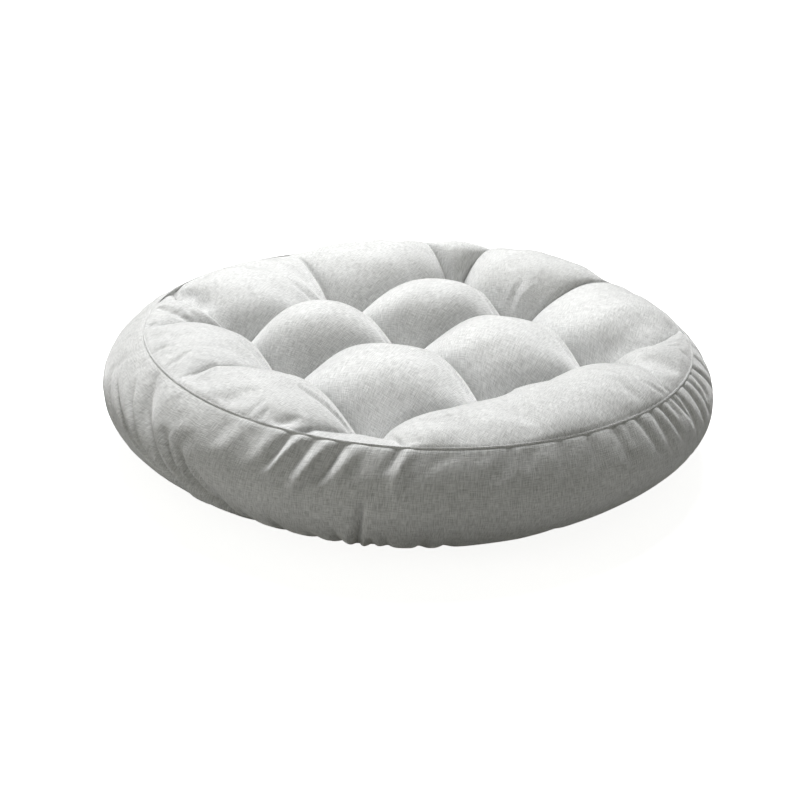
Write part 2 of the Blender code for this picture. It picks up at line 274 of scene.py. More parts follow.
@dataclass(frozen=True)
class TopPanel:
    """The tufted top: nine tufts, four domes, twelve rim puffs and the wrinkles between them."""

    plan: Plan
    seam: SeamLine
    pitch: float = 0.091  # tuft to tuft in plan
    turn_deg: float = -58.0  # how far the grid is turned
    centre: tuple[float, float] = (0.006, 0.002)
    tuft_height: float = 0.040
    saddle_height: float = 0.051
    channel_swell: float = 0.8  # power of the rise from a tuft to a saddle
    crease_top_at: float = 0.75  # share of the way out at which a crease is highest
    crease_fade: float = 0.25  # share of the way over which a short crease dies out
    bow_share: float = 0.75  # under 1, so a bowed crease is bowed most near its tuft
    roundness: float = 0.5
    shoulder: float = 2.6  # over 2, so a rim puff stays full and turns down close to the seam
    flat_pitch: float = 0.116  # tuft to tuft along the cloth
    flat_radius: float = 0.235  # middle to seam along the cloth
    grain_deg: float = 30.0  # the warp's angle from the rows of tufts
    arc_share: float = 0.8  # how much of a dome's extra cloth lies in its steep sides
    rim_cloth: float = 0.75  # under 1, so a rim puff has more cloth beside its tuft
    curve_points: int = 17  # points along a wrinkle's curve
    tufts: tuple[Tuft, ...] = (
        Tuft(-1, -1, 6, 3),
        Tuft(0, -1, -9, 1),
        Tuft(1, -1, 11, -2),
        Tuft(-1, 0, 2, -4),
        Tuft(0, 0, -14, 5),
        Tuft(1, 0, 5, -2),
        Tuft(-1, 1, 2, 1),
        Tuft(0, 1, -13, 3),
        Tuft(1, 1, 3, -9),
    )
    domes: tuple[Dome, ...] = (
        Dome(-1, -1, 0.0812, 0.55),
        Dome(-1, 0, 0.0800, 0.50),
        Dome(0, -1, 0.0762, 0.42),
        Dome(0, 0, 0.0772, 0.42),
    )
    puffs: tuple[RimPuff, ...] = (
        RimPuff("front right", -67.0, 0.006, 0.4, 0.0815, 0.60),
        RimPuff("right corner", -34.0, 0.006, 1.0, 0.0790, 0.60),
        RimPuff("right", 5.5, 0.015, 1.0, 0.0800, 0.60, -17.0),
        RimPuff("back right", 33.0, 0.009, 1.0, 0.0860, 0.60),
        RimPuff("back corner", 68.0, 0.007, 1.0, 0.0835, 0.60),
        RimPuff("back", 89.0, 0.005, 1.0, 0.0850, 0.60),
        RimPuff("back left", 121.0, 0.009, 1.0, 0.0800, 0.60),
        RimPuff("left corner", 157.0, 0.012, 1.0, 0.0790, 0.60, 9.0),
        RimPuff("left", 182.0, 0.006, 1.0, 0.0805, 0.60),
        RimPuff("front left", 213.0, 0.006, 1.0, 0.0800, 0.60),
        RimPuff("front corner", 246.0, 0.006, 1.0, 0.0670, 0.80),
        RimPuff("front", 268.5, 0.004, 1.0, 0.0770, 0.60),
    )
    swells: tuple[Swell, ...] = (
        Swell(1.02, -0.62, 44, -8.0),
        Swell(1.02, 0.26, 46, -9.0),
        Swell(0.50, -1.38, 44, 2.0),
        Swell(0.60, -1.85, 40, -1.5),
        Swell(0.88, 1.30, 40, -9.0),
        Swell(0.84, 1.62, 30, -3.5),
        Swell(-1.32, -0.88, 32, -6.0),
        Swell(-1.62, -0.90, 26, -6.5),
        Swell(-1.86, -0.93, 18, -4.0),
    )
    wrinkles: tuple[Wrinkle, ...] = (
        Wrinkle((0.62, -1.30), (0.80, -1.25), (1.00, -1.17), 3.0, 1.8),
        Wrinkle((0.60, -1.38), (0.78, -1.32), (0.97, -1.23), 3.0, -2.2),
        Wrinkle((0.45, -0.10), (0.65, -0.09), (0.90, -0.08), 2.8, 1.1),
        Wrinkle((0.48, -0.16), (0.66, -0.14), (0.90, -0.13), 3.0, -1.0),
        Wrinkle((0.40, 0.88), (0.64, 0.90), (0.90, 0.92), 2.8, 1.1),
        Wrinkle((0.45, 0.83), (0.66, 0.85), (0.90, 0.87), 3.0, -1.0),
        Wrinkle((-0.50, -0.10), (-0.30, -0.09), (-0.08, -0.08), 2.8, 1.0),
        Wrinkle((-0.48, -0.16), (-0.30, -0.14), (-0.08, -0.13), 3.0, -0.9),
        Wrinkle((-0.50, 0.90), (-0.30, 0.91), (-0.08, 0.92), 2.8, 1.0),
        Wrinkle((-0.48, 0.84), (-0.30, 0.86), (-0.08, 0.87), 3.0, -0.9),
        Wrinkle((-0.45, -1.19), (-0.27, -1.12), (-0.08, -1.07), 3.0, 1.5),
        Wrinkle((-0.42, -1.27), (-0.25, -1.19), (-0.06, -1.13), 3.0, -1.4),
        Wrinkle((1.82, 0.84), (1.91, 0.89), (1.99, 0.98), 3.5, -0.9),
        Wrinkle((1.85, 0.94), (1.93, 0.99), (1.99, 1.06), 3.5, -0.7),
        Wrinkle((1.66, 0.62), (1.82, 0.67), (1.98, 0.74), 5.0, -0.5),
        Wrinkle((-0.10, 1.04), (-0.17, 1.15), (-0.16, 1.32), 4.0, 0.9),
        Wrinkle((-0.03, 1.06), (-0.06, 1.18), (-0.07, 1.36), 4.0, -0.9),
        Wrinkle((-0.22, 1.03), (-0.30, 1.13), (-0.34, 1.26), 4.0, 0.7),
        Wrinkle((-0.16, 1.04), (-0.24, 1.14), (-0.26, 1.28), 4.0, -0.8),
        Wrinkle((-1.14, -0.15), (-1.26, -0.21), (-1.40, -0.27), 5.0, -1.1),
        Wrinkle((-1.15, -0.08), (-1.30, -0.13), (-1.50, -0.17), 4.0, 0.8),
        Wrinkle((-1.04, 1.06), (-1.18, 1.20), (-1.40, 1.34), 6.0, -1.2),
        Wrinkle((-1.83, -1.95), (-1.32, -1.69), (-1.05, -1.48), 6.0, -1.4),
        Wrinkle((-1.70, -1.45), (-1.35, -1.52), (-1.08, -1.38), 5.0, -1.0),
        Wrinkle((-0.25, -1.74), (-0.23, -1.86), (-0.21, -1.99), 4.0, -2.2),
        Wrinkle((-0.02, -1.62), (0.01, -1.76), (0.04, -1.92), 4.0, -2.2),
        Wrinkle((0.06, -1.62), (0.09, -1.76), (0.12, -1.92), 4.0, 0.9),
        Wrinkle((-1.11, -1.86), (-1.09, -1.93), (-1.07, -1.99), 3.5, -1.2),
        Wrinkle((-0.48, -1.84), (-0.49, -1.92), (-0.49, -1.99), 3.5, -1.3),
        Wrinkle((0.66, -1.76), (0.69, -1.86), (0.71, -1.98), 3.5, -1.4),
        Wrinkle((0.74, -1.80), (0.77, -1.89), (0.79, -1.98), 3.5, -1.0),
        Wrinkle((0.92, -1.70), (0.90, -1.86), (0.90, -1.99), 7.0, -2.0),
        Wrinkle((1.00, -1.70), (1.15, -1.72), (1.60, -1.75), 9.0, 1.0),
    )
    sharpness: float = 1.5  # under 2, so a wrinkle is sharp in the middle
    wrinkle_fullness: float = 0.6  # under 1, so a wrinkle keeps its height close to its ends
    ease: float = 0.12  # how loose the cloth is away from the seam
    loose_from: float = 0.3  # share of the way out at which the seam's looseness starts
    loose_over: float = 0.6  # and the share over which it grows
    loose_spans: tuple[LooseSpan, ...] = (
        LooseSpan(160.0, 90.0, 0.6),
        LooseSpan(215.0, 60.0, 0.6),
        LooseSpan(246.0, 22.0, 0.4),
        LooseSpan(340.0, 40.0, 0.5),
        LooseSpan(50.0, 60.0, 0.4),
    )

    def tuft_plan(self) -> Field:
        """Where the tufts are.

        Returns:
            Their plan points by column and row, both counted from 0.
        """
        places = np.zeros((3, 3, 2))
        for tuft in self.tufts:
            on_grid = np.array([tuft.column * self.pitch, tuft.row * self.pitch])
            pulled = np.array([tuft.along, tuft.across]) / MM
            places[tuft.column + 1, tuft.row + 1] = turned(on_grid + pulled, self.turn_deg)
        return places + np.array(self.centre)

    def arch(self, share: Field, roundness: Field | float) -> Field:
        """0 at both ends and 1 in the middle, with an elliptical section where roundness is 0.5."""
        return np.maximum(4 * share * (1 - share), 0.0) ** roundness

    def channel(self, share: Field) -> Field:
        """Height of the channel between two tufts, this share of the way along it."""
        rise = np.maximum(np.sin(np.pi * share), 0.0) ** (2 * self.channel_swell)
        return mix(self.tuft_height, self.saddle_height, rise)

    def dome(self, across: Field, along: Field, crown: Field, roundness: Field) -> Field:
        """Height of a dome.

        Args:
            across: share of the way across its grid square.
            along: share of the way along it.
            crown: height of the dome's crown.
            roundness: how round its section is.

        Returns:
            The height at each place.
        """
        between = 1 - (np.cos(np.pi * across) * np.cos(np.pi * along)) ** 2
        base = mix(self.tuft_height, self.saddle_height, np.maximum(between, 0.0) ** self.channel_swell)
        rise = (crown - self.saddle_height) * self.arch(across, roundness)
        return base + rise * self.arch(along, roundness)

    def puff_section(self, out: Field, start: Field, crown: Field, crest_at: Field, seam: Field) -> Field:
        """Height of a rim puff's middle line: up from its channel to the crown, then over to the seam.

        Args:
            out: share of the way from the channel to the seam.
            start: the channel's height.
            crown: the crown's height.
            crest_at: share of the way at which the crown lies.
            seam: the seam's height.

        Returns:
            The height at each place.
        """
        up = mix(start, crown, np.sqrt(np.maximum(1 - (1 - np.minimum(out / crest_at, 1)) ** 2, 0)))
        over = np.maximum(out - crest_at, 0) / (1 - crest_at)
        return np.where(out <= crest_at, up, mix(crown, seam, over**self.shoulder))

    def of_puffs(self, name: str) -> Field:
        """One size of every rim puff, in their order."""
        return np.array([getattr(one, name) for one in self.puffs])

    def crease_section(self, out: Field, before: Field, puff: Field, seam: Field) -> Field:
        """Height of the crease between two rim puffs, this share of the way from its tuft to the seam.

        Args:
            out: share of the way from the tuft to the seam.
            before: numbers of the puffs on the near side of the crease.
            puff: numbers of the puffs that start at the crease.
            seam: the seam's height there.

        Returns:
            The crease's height at each place.
        """
        crowns, crests = self.of_puffs("crown"), self.of_puffs("crest_at")
        drops, runs = self.of_puffs("drop"), self.of_puffs("runs")
        crown = (crowns[before] + crowns[puff]) / 2
        climb_share = np.sin(np.pi / 2 * np.minimum(out / self.crease_top_at, 1))
        climb = mix(self.tuft_height, crown - drops[puff], climb_share)
        over = np.maximum(out - self.crease_top_at, 0) / (1 - self.crease_top_at)
        height = mix(climb, seam, over**2)
        crest = (crests[before] + crests[puff]) / 2
        whole = self.puff_section(out, np.full_like(out, self.tuft_height), crown, crest, seam)
        fading = smooth((out - runs[puff]) / self.crease_fade + 1)
        return np.where(runs[puff] >= 1, height, mix(height, whole, fading))

    def rim(self, s: Field, t: Field) -> tuple[Field, Field, Field, Field, Field]:
        """Where places outside the tufts lie on their rim puffs.

        Args:
            s: grid coordinate, with the larger of |s| and |t| over 1.
            t: the other grid coordinate.

        Returns:
            The puffs' numbers, the shares round and out of them, and the columns and rows, counted
            from 0, of the two tufts inside each, as arrays of shape (..., 2, 2).
        """
        turns = np.full(s.shape, -1)
        local_s, local_t = s.copy(), t.copy()
        turned_s, turned_t = s.copy(), t.copy()
        for turn in range(4):
            here = (turns < 0) & (turned_s > 1) & (turned_t >= -1)
            turns[here] = turn
            local_s[here], local_t[here] = turned_s[here], turned_t[here]
            turned_s, turned_t = turned_t, -turned_s
        corner = local_t > 1
        half = np.where(local_t < 0, 0, 1)
        puff = np.where(corner, 3 * turns + 1, 3 * turns + half - 1) % len(self.puffs)
        angle = np.arctan2(np.maximum(local_t - 1, 0), np.maximum(local_s - 1, TINY))
        share = np.where(corner, angle / (np.pi / 2), local_t + 1 - half)
        out = np.where(corner, np.maximum(local_s, local_t) - 1, local_s - 1)
        first = np.stack([np.ones_like(half), np.where(corner, 1, half - 1)], -1)
        last = np.stack([np.ones_like(half), np.where(corner, 1, half)], -1)
        ends = np.stack([first, last], -2)
        for turn in range(1, 4):
            more = (turns >= turn)[..., None, None]
            ends = np.where(more, np.stack([-ends[..., 1], ends[..., 0]], -1), ends)
        return puff, share, out, ends + 1

    def surface(self, s: Field, t: Field) -> tuple[Field, Field, Field]:
        """The top panel at grid coordinates.

        Args:
            s: first grid coordinate of each place.
            t: second grid coordinate.

        Returns:
            The points, their plan angles, which are 0 on the domes, and their places on the flat cloth,
            with the warp along its first axis.
        """
        tufts = self.tuft_plan()
        points, at_deg = np.zeros((*s.shape, 3)), np.zeros(s.shape)
        flat = np.zeros((*s.shape, 2))

        inner = np.maximum(np.abs(s), np.abs(t)) <= 1
        points[inner], flat[inner] = self.dome_points(s[inner], t[inner], tufts)
        rim = ~inner
        points[rim], at_deg[rim], flat[rim] = self.rim_points(s[rim], t[rim], tufts)
        return points, at_deg, turned(flat, -self.grain_deg)

    def dome_points(self, s: Field, t: Field, tufts: Field) -> tuple[Field, Field]:
        """The four domes.

        Args:
            s: first grid coordinate of each place, all inside the outer tufts.
            t: second grid coordinate.
            tufts: the tufts' plan points.

        Returns:
            The points and their places on the flat cloth.
        """
        column = np.clip(np.floor(s + 1).astype(int), 0, 1)
        row = np.clip(np.floor(t + 1).astype(int), 0, 1)
        across, along = s + 1 - column, t + 1 - row
        near = mix(tufts[column, row], tufts[column + 1, row], across[:, None])
        far = mix(tufts[column, row + 1], tufts[column + 1, row + 1], across[:, None])
        crowns, rounds = np.zeros((2, 2)), np.zeros((2, 2))
        for one in self.domes:
            crowns[one.column + 1, one.row + 1] = one.crown
            rounds[one.column + 1, one.row + 1] = one.roundness
        height = self.dome(across, along, crowns[column, row], rounds[column, row])
        points = np.concatenate([mix(near, far, along[:, None]), height[:, None]], 1)
        flat = np.stack([column - 1 + self.arc(across), row - 1 + self.arc(along)], 1) * self.flat_pitch
        return points, flat

    def arc(self, share: Field) -> Field:
        """The share of a dome's arc at a share of its span: the steep sides hold more cloth."""
        return mix(share, np.arccos(np.clip(1 - 2 * share, -1, 1)) / np.pi, self.arc_share)

    def rim_points(self, s: Field, t: Field, tufts: Field) -> tuple[Field, Field, Field]:
        """The twelve rim puffs.

        Args:
            s: first grid coordinate of each place, all outside the outer tufts.
            t: second grid coordinate.
            tufts: the tufts' plan points.

        Returns:
            The points, their plan angles and their places on the flat cloth.
        """
        puff, share, out, ends = self.rim(s, t)
        starts = self.of_puffs("starts_deg")
        crowns, crests = self.of_puffs("crown"), self.of_puffs("crest_at")
        after = (puff + 1) % len(self.puffs)
        at_deg = starts[puff] + share * ((starts[after] - starts[puff]) % 360)
        first, last = ends[:, 0], ends[:, 1]
        inside = mix(tufts[first[:, 0], first[:, 1]], tufts[last[:, 0], last[:, 1]], share[:, None])
        seam = self.seam.points(at_deg)
        points = mix(np.concatenate([inside, np.zeros((len(s), 1))], 1), seam, out[:, None])
        bows = self.of_puffs("bow_mm") / MM
        bowed = mix(bows[puff], bows[after], share) * np.sin(np.pi * out**self.bow_share)
        points += self.plan.outward(at_deg + 90) * bowed[:, None]
        single = (first == last).all(1)
        channel = np.where(single, self.tuft_height, self.channel(share))
        before = (puff - 1) % len(self.puffs)
        crease = mix(
            self.crease_section(out, before, puff, seam[:, 2]),
            self.crease_section(out, puff, after, seam[:, 2]),
            share,
        )
        section = self.puff_section(out, channel, crowns[puff], crests[puff], seam[:, 2])
        reach = np.linalg.norm(seam[:, :2] - inside, axis=1)
        height = mix(crease, section, self.arch(share, self.roundness))
        points[:, 2] = height - self.seam.sunk((1 - out) * reach)
        flat_inside = mix(first - 1.0, last - 1.0, self.arc(share)[:, None]) * self.flat_pitch
        flat_seam = self.flat_radius * self.plan.outward(at_deg - self.turn_deg)[:, :2]
        flat = mix(flat_inside, flat_seam, (out**self.rim_cloth)[:, None])
        return points, at_deg, flat

    def loose(self, s: Field, t: Field, at_deg: Field) -> Field:
        """How much loose cloth the panel has, most of it beside the seam.

        Args:
            s: first grid coordinate of each place.
            t: second grid coordinate.
            at_deg: plan angle of each place.

        Returns:
            The looseness of each place, from 0 to 1.
        """
        out = np.clip(np.maximum(np.abs(s), np.abs(t)) - 1, 0, 1)
        beside_seam = loose_round(self.loose_spans, self.ease, at_deg)
        return mix(self.ease, beside_seam, smooth((out - self.loose_from) / self.loose_over))

    def lifted(self, points: Field) -> Field:
        """How far the swells and the wrinkles lift each point of the panel.

        Args:
            points: the panel's points, before the plan is centred.

        Returns:
            One rise for each point.
        """
        rise = np.zeros(points.shape[:-1])
        for one in self.swells:
            middle, _, _ = self.surface(np.array([one.s]), np.array([one.t]))
            away = np.linalg.norm(points[..., :2] - middle[0, :2], axis=-1)
            rise += one.rise_mm / MM * bell(away, one.wide_mm / MM)
        for one in self.wrinkles:
            path = self.path(one)
            reach = np.linalg.norm(path - path.mean(0), axis=1).max() + 2 * one.wide_mm / MM
            near = np.linalg.norm(points[..., :2] - path.mean(0), axis=-1) < reach
            away, along = nearest(points[near][:, :2], path)
            fade = np.sin(np.pi * np.clip(along, 0, 1)) ** self.wrinkle_fullness
            rise[near] += one.rise_mm / MM * bell(away, one.wide_mm / MM, self.sharpness) * fade
        return rise

    def path(self, wrinkle: Wrinkle) -> Field:
        """The wrinkle's curve.

        Args:
            wrinkle: the wrinkle.

        Returns:
            Plan points along it, from its start to its end.
        """
        share = np.linspace(0, 1, self.curve_points)[:, None]
        early = np.array(wrinkle.start) * (1 - share) * (1 - 2 * share)
        halfway = np.array(wrinkle.middle) * 4 * share * (1 - share)
        late = np.array(wrinkle.end) * share * (2 * share - 1)
        grid = early + halfway + late
        line, _, _ = self.surface(grid[:, 0], grid[:, 1])
        return line[:, :2]


def nearest(places: Field, path: Field) -> tuple[Field, Field]:
    """How near places are to a path.

    Args:
        places: plan points.
        path: the path's points in their order.

    Returns:
        The distance of each place from the path, and the share along the path where it is nearest.
    """
    best = np.full(len(places), np.inf)
    along = np.zeros(len(places))
    pieces = len(path) - 1
    for number in range(pieces):
        start, run = path[number], path[number + 1] - path[number]
        share = np.clip((places - start) @ run / (run @ run), 0, 1)
        away = np.linalg.norm(places - start - share[:, None] * run, axis=1)
        closer = away < best
        best[closer] = away[closer]
        along[closer] = (number + share[closer]) / pieces
    return best, along


# --- The side band -------------------------------------------------------------------------------
class Fold(NamedTuple):
    """One fold of the band: a ridge (+) or a valley (-) that runs down from the seam.

    It starts at at_deg, runs over these shares of the band and leans round by lean_deg.
    """

    at_deg: float
    start: float
    end: float
    wide_mm: float
    rise_mm: float
    lean_deg: float


@dataclass(frozen=True)
class SideBand:
    """The band round the side: out from the seam over the belly and in to the foot, with its folds."""

    plan: Plan
    seam: SeamLine
    belly_height: float = 0.039
    foot_radius: float = 0.138
    foot_corners: float = 0.050  # share of the foot's radius that four corners stand out
    foot_corners_deg: float = 272.0
    girth: float = 0.120  # seam to foot along the cloth
    belly_at: float = 0.33  # share of the way down at which the band is widest
    top_deg: float = 20.0  # how far its section turns between the belly and the seam
    top_facing: float = 50.0  # how far up a fold stands out where it meets the seam
    fullness: float = 0.7  # under 1, so a fold keeps its height close to its ends
    hang: float = 0.40  # gathers are deepest close to the seam
    valley_power: float = 1.6  # under 2, so a valley is sharper than a ridge
    folds: tuple[Fold, ...] = (
        Fold(190.0, 0.16, 0.46, 8, -1.8, 16.0),
        Fold(196.5, 0.16, 0.56, 7, -5.0, 34.0),
        Fold(201.0, 0.13, 0.55, 7, 1.2, 28.0),
        Fold(202.3, 0.09, 0.55, 7, -5.2, 25.0),
        Fold(205.6, 0.10, 0.55, 8, 1.4, 22.0),
        Fold(206.5, 0.01, 0.60, 19, -5.8, 26.0),
        Fold(213.0, 0.01, 0.60, 20, 3.4, 25.0),
        Fold(214.0, 0.20, 0.62, 9, 2.8, 17.0),
        Fold(218.2, 0.20, 0.62, 5, -3.8, 16.0),
        Fold(221.6, 0.16, 0.60, 5.5, -4.8, 17.0),
        Fold(223.9, 0.18, 0.62, 6, 2.4, 15.5),
        Fold(226.4, 0.20, 0.62, 5.5, -4.8, 14.5),
        Fold(228.8, 0.22, 0.64, 6, 2.2, 13.5),
        Fold(231.2, 0.26, 0.66, 5.5, -4.4, 11.0),
        Fold(236.0, 0.34, 0.72, 5, -4.2, 5.0),
        Fold(241.0, 0.42, 0.80, 6, -2.2, 2.0),
        Fold(247.5, 0.44, 0.80, 6, -1.9, 1.0),
        Fold(237.5, 0.00, 0.18, 16, 1.2, -0.5),
        Fold(244.6, 0.00, 0.18, 12, 1.6, -0.5),
        Fold(247.1, 0.00, 0.18, 7, -2.4, -0.5),
        Fold(249.6, 0.00, 0.22, 8, 2.6, -3.0),
        Fold(252.2, 0.00, 0.18, 6, -1.8, -1.5),
        Fold(254.8, 0.00, 0.30, 9, 3.0, -3.4),
        Fold(257.4, 0.00, 0.20, 8, -3.2, -1.4),
        Fold(260.2, 0.00, 0.20, 10, 2.4, -2.0),
        Fold(264.4, 0.00, 0.18, 18, 0.8, 0.0),
        Fold(267.0, 0.00, 0.12, 6, -1.4, -0.5),
        Fold(268.8, 0.00, 0.22, 7, 2.4, -1.0),
        Fold(254.4, 0.50, 0.82, 7, -1.4, -0.4),
        Fold(258.8, 0.44, 0.82, 6, -2.2, 0.0),
        Fold(260.6, 0.44, 0.80, 7, 0.8, 0.0),
        Fold(263.6, 0.24, 0.80, 5, -4.2, -2.2),
        Fold(262.6, 0.50, 0.80, 7, 1.0, 0.0),
        Fold(264.6, 0.52, 0.82, 5, -2.6, -0.4),
        Fold(267.0, 0.48, 0.82, 6, -2.2, 0.0),
        Fold(273.9, 0.44, 0.82, 6, -2.6, -1.4),
        Fold(278.4, 0.44, 0.82, 7, -2.2, -1.6),
        Fold(20.0, 0.02, 0.40, 18, -1.4, 2.0),
        Fold(75.0, 0.02, 0.44, 18, -1.8, -3.0),
        Fold(104.0, 0.02, 0.36, 16, -1.4, 2.0),
        Fold(128.0, 0.02, 0.44, 18, -1.6, -4.0),
        Fold(160.0, 0.04, 0.50, 18, -1.8, 4.0),
    )
    gathers: tuple[Fold, ...] = (
        Fold(286.0, 0.00, 0.14, 5, -0.5, 0.0),
        Fold(295.5, 0.00, 0.18, 6, -0.5, 0.5),
        Fold(301.5, 0.00, 0.14, 5, -0.7, 0.5),
        Fold(307.5, 0.00, 0.22, 6, -1.1, 1.5),
        Fold(310.4, 0.00, 0.14, 5, -0.8, 0.5),
        Fold(313.8, 0.00, 0.26, 5, -1.6, 3.0),
        Fold(318.4, 0.00, 0.30, 5, -1.4, 2.4),
        Fold(321.8, 0.00, 0.28, 5, -2.5, 3.0),
        Fold(324.6, 0.00, 0.14, 4.5, -0.9, 1.0),
        Fold(327.0, 0.00, 0.24, 4.5, -1.8, 2.6),
        Fold(329.3, 0.00, 0.44, 5, -1.8, 2.6),
        Fold(333.8, 0.00, 0.38, 5, -1.9, 2.0),
        Fold(337.0, 0.00, 0.34, 4.5, -1.5, 3.2),
        Fold(340.4, 0.00, 0.20, 4.5, -1.0, 1.0),
        Fold(343.8, 0.00, 0.40, 6, -1.8, 8.0),
        Fold(350.5, 0.00, 0.32, 6, -1.4, 2.0),
        Fold(357.0, 0.00, 0.30, 7, -1.2, 1.0),
        Fold(5.0, 0.00, 0.34, 8, -1.3, 1.0),
    )
    ease: float = 0.2  # how loose the cloth is away from the loose spans
    loose_low: float = 0.6  # how much of that is left low on the band
    loose_from: float = 0.3  # share of the way down at which it starts to lessen
    loose_over: float = 0.3  # and the share over which it does
    loose_spans: tuple[LooseSpan, ...] = (
        LooseSpan(246.0, 20.0, 0.12),
        LooseSpan(325.0, 70.0, 0.4),
        LooseSpan(60.0, 120.0, 0.5),
        LooseSpan(150.0, 70.0, 0.5),
    )

    def foot_edge(self, at_deg: Field, share: float = 1.0) -> Field:
        """Points of the foot's outline, or of one this share of its size, at height 0."""
        squared = 1 + self.foot_corners * np.cos(np.radians(4 * (at_deg - self.foot_corners_deg)))
        return self.plan.outline(self.foot_radius * squared * share, at_deg)

    def folded(self, at_deg: Field, down: Field) -> Field:
        """How far the folds stand out.

        Args:
            at_deg: plan angle of each place.
            down: share of the way down from the seam to the edge of the foot.

        Returns:
            The height of the folds at each place.
        """
        rise = np.zeros(at_deg.shape)
        for fold in self.folds + self.gathers:
            along = (down - fold.start) / (fold.end - fold.start)
            middle = fold.at_deg + fold.lean_deg * along
            aside = np.radians((at_deg - middle + 180) % 360 - 180) * self.plan.diameter / 2
            hung = np.clip(along, 0, 1) ** (self.hang if fold in self.gathers else 1.0)
            fade = np.sin(np.pi * hung) ** self.fullness
            power = 2.0 if fold.rise_mm > 0 else self.valley_power
            rise += fold.rise_mm / MM * fade * bell(aside, fold.wide_mm / MM, power)
        return rise

    def loose(self, at_deg: Field, down: Field) -> Field:
        """How much loose cloth each place of the band has, from 0 to 1."""
        lower = smooth((down - self.loose_from) / self.loose_over)
        return loose_round(self.loose_spans, self.ease, at_deg) * mix(1.0, self.loose_low, lower)

    def surface(self, at_deg: Field, down: Field) -> Field:
        """Points of the band.

        Args:
            at_deg: plan angle of each place.
            down: share of the way down from the seam to the edge of the foot.

        Returns:
            The points, before the plan is centred.
        """
        belly = self.plan.outline(np.full_like(at_deg, self.plan.diameter / 2), at_deg)
        seam = self.seam.points(at_deg)
        above = np.clip(1 - down / self.belly_at, 0, 1)
        below = np.clip((down - self.belly_at) / (1 - self.belly_at), 0, 1)

        phase, top = np.radians(self.top_deg * above), np.radians(self.top_deg)
        share = (1 - np.cos(phase)) / (1 - np.cos(top))
        upper = mix(belly[..., :2], seam[..., :2], share[..., None])
        upper_z = mix(self.belly_height, seam[..., 2], np.sin(phase) / np.sin(top))
        upper_z = upper_z - self.seam.sunk(down * self.girth)

        turn = np.pi / 2 * below
        lower = mix(self.foot_edge(at_deg)[..., :2], belly[..., :2], np.cos(turn)[..., None])
        lower_z = self.belly_height * (1 - np.sin(turn))

        high = down < self.belly_at
        plan = np.where(high[..., None], upper, lower)
        points = np.concatenate([plan, np.where(high, upper_z, lower_z)[..., None]], -1)
        facing = np.where(high, np.radians(self.top_facing * above), -turn)
        normal = self.plan.outward(at_deg) * np.cos(facing)[..., None]
        normal[..., 2] = np.sin(facing)
        return points + normal * self.folded(at_deg, down)[..., None]


# --- Turning sheets of points into pieces --------------------------------------------------------
@dataclass
class Skin:
    """A closed skin being put together: points, four-cornered faces, and each corner's cloth place."""

    points: list[Field] = field(default_factory=list)
    faces: list[Field] = field(default_factory=list)
    cloth: list[Field] = field(default_factory=list)
    count: int = 0

    def add_points(self, points: Field) -> Field:
        """Add points.

        Args:
            points: the points, along the array's last axis.

        Returns:
            Their numbers, in the shape of the array without that axis.
        """
        flat = points.reshape(-1, 3)
        numbers = np.arange(self.count, self.count + len(flat)).reshape(points.shape[:-1])
        self.points.append(flat)
        self.count += len(flat)
        return numbers

    def add_sheet(self, numbers: Field, cloth: Field) -> None:
        """Add the faces of a sheet of points.

        Args:
            numbers: the points' numbers by row and column, rows running anticlockwise of columns.
            cloth: the points' places on the flat cloth, in the same layout.
        """
        corners = [(slice(None, -1), slice(None, -1)), (slice(1, None), slice(None, -1))]
        corners += [(slice(1, None), slice(1, None)), (slice(None, -1), slice(1, None))]
        self.faces.append(np.stack([numbers[place] for place in corners], -1).reshape(-1, 4))
        self.cloth.append(np.stack([cloth[place] for place in corners], -2).reshape(-1, 4, 2))

    def piece(self, name: str, caps: tuple[Field, ...] = ()) -> bpy.types.Object:
        """The skin as an object, smooth, with the cloth places in a UV map called cloth.

        Args:
            name: the piece's name.
            caps: rings of point numbers, each closed by one face with its own plan as cloth place.

        Returns:
            The new object, linked to the scene.
        """
        points = np.concatenate(self.points)
        faces = np.concatenate(self.faces)
        data = bpy.data.meshes.new(name)
        polygons = faces.tolist() + [ring.tolist() for ring in caps]
        data.from_pydata(points.tolist(), [], polygons)
        corners = [np.concatenate(self.cloth).reshape(-1, 2)]
        corners += [points[ring, :2] for ring in caps]
        layer = data.uv_layers.new(name="cloth")
        layer.data.foreach_set("uv", np.concatenate(corners).astype(np.float32).ravel())
        data.validate()
        data.shade_smooth()
        piece = bpy.data.objects.new(name, data)
        bpy.context.scene.collection.objects.link(piece)
        return piece


# --- The finish ----------------------------------------------------------------------------------
class NoiseUse(Enum):
    """What a noise is wanted for, with the kind of noise that gives it."""

    SHADE = "2D"  # one value at each place
    DRIFT = "3D"  # a way and a distance at each place


class Maths(Enum):
    """What a node makes of the first outputs of two others."""

    ADD = "ADD"
    MULTIPLY = "MULTIPLY"
    LARGER = "MAXIMUM"


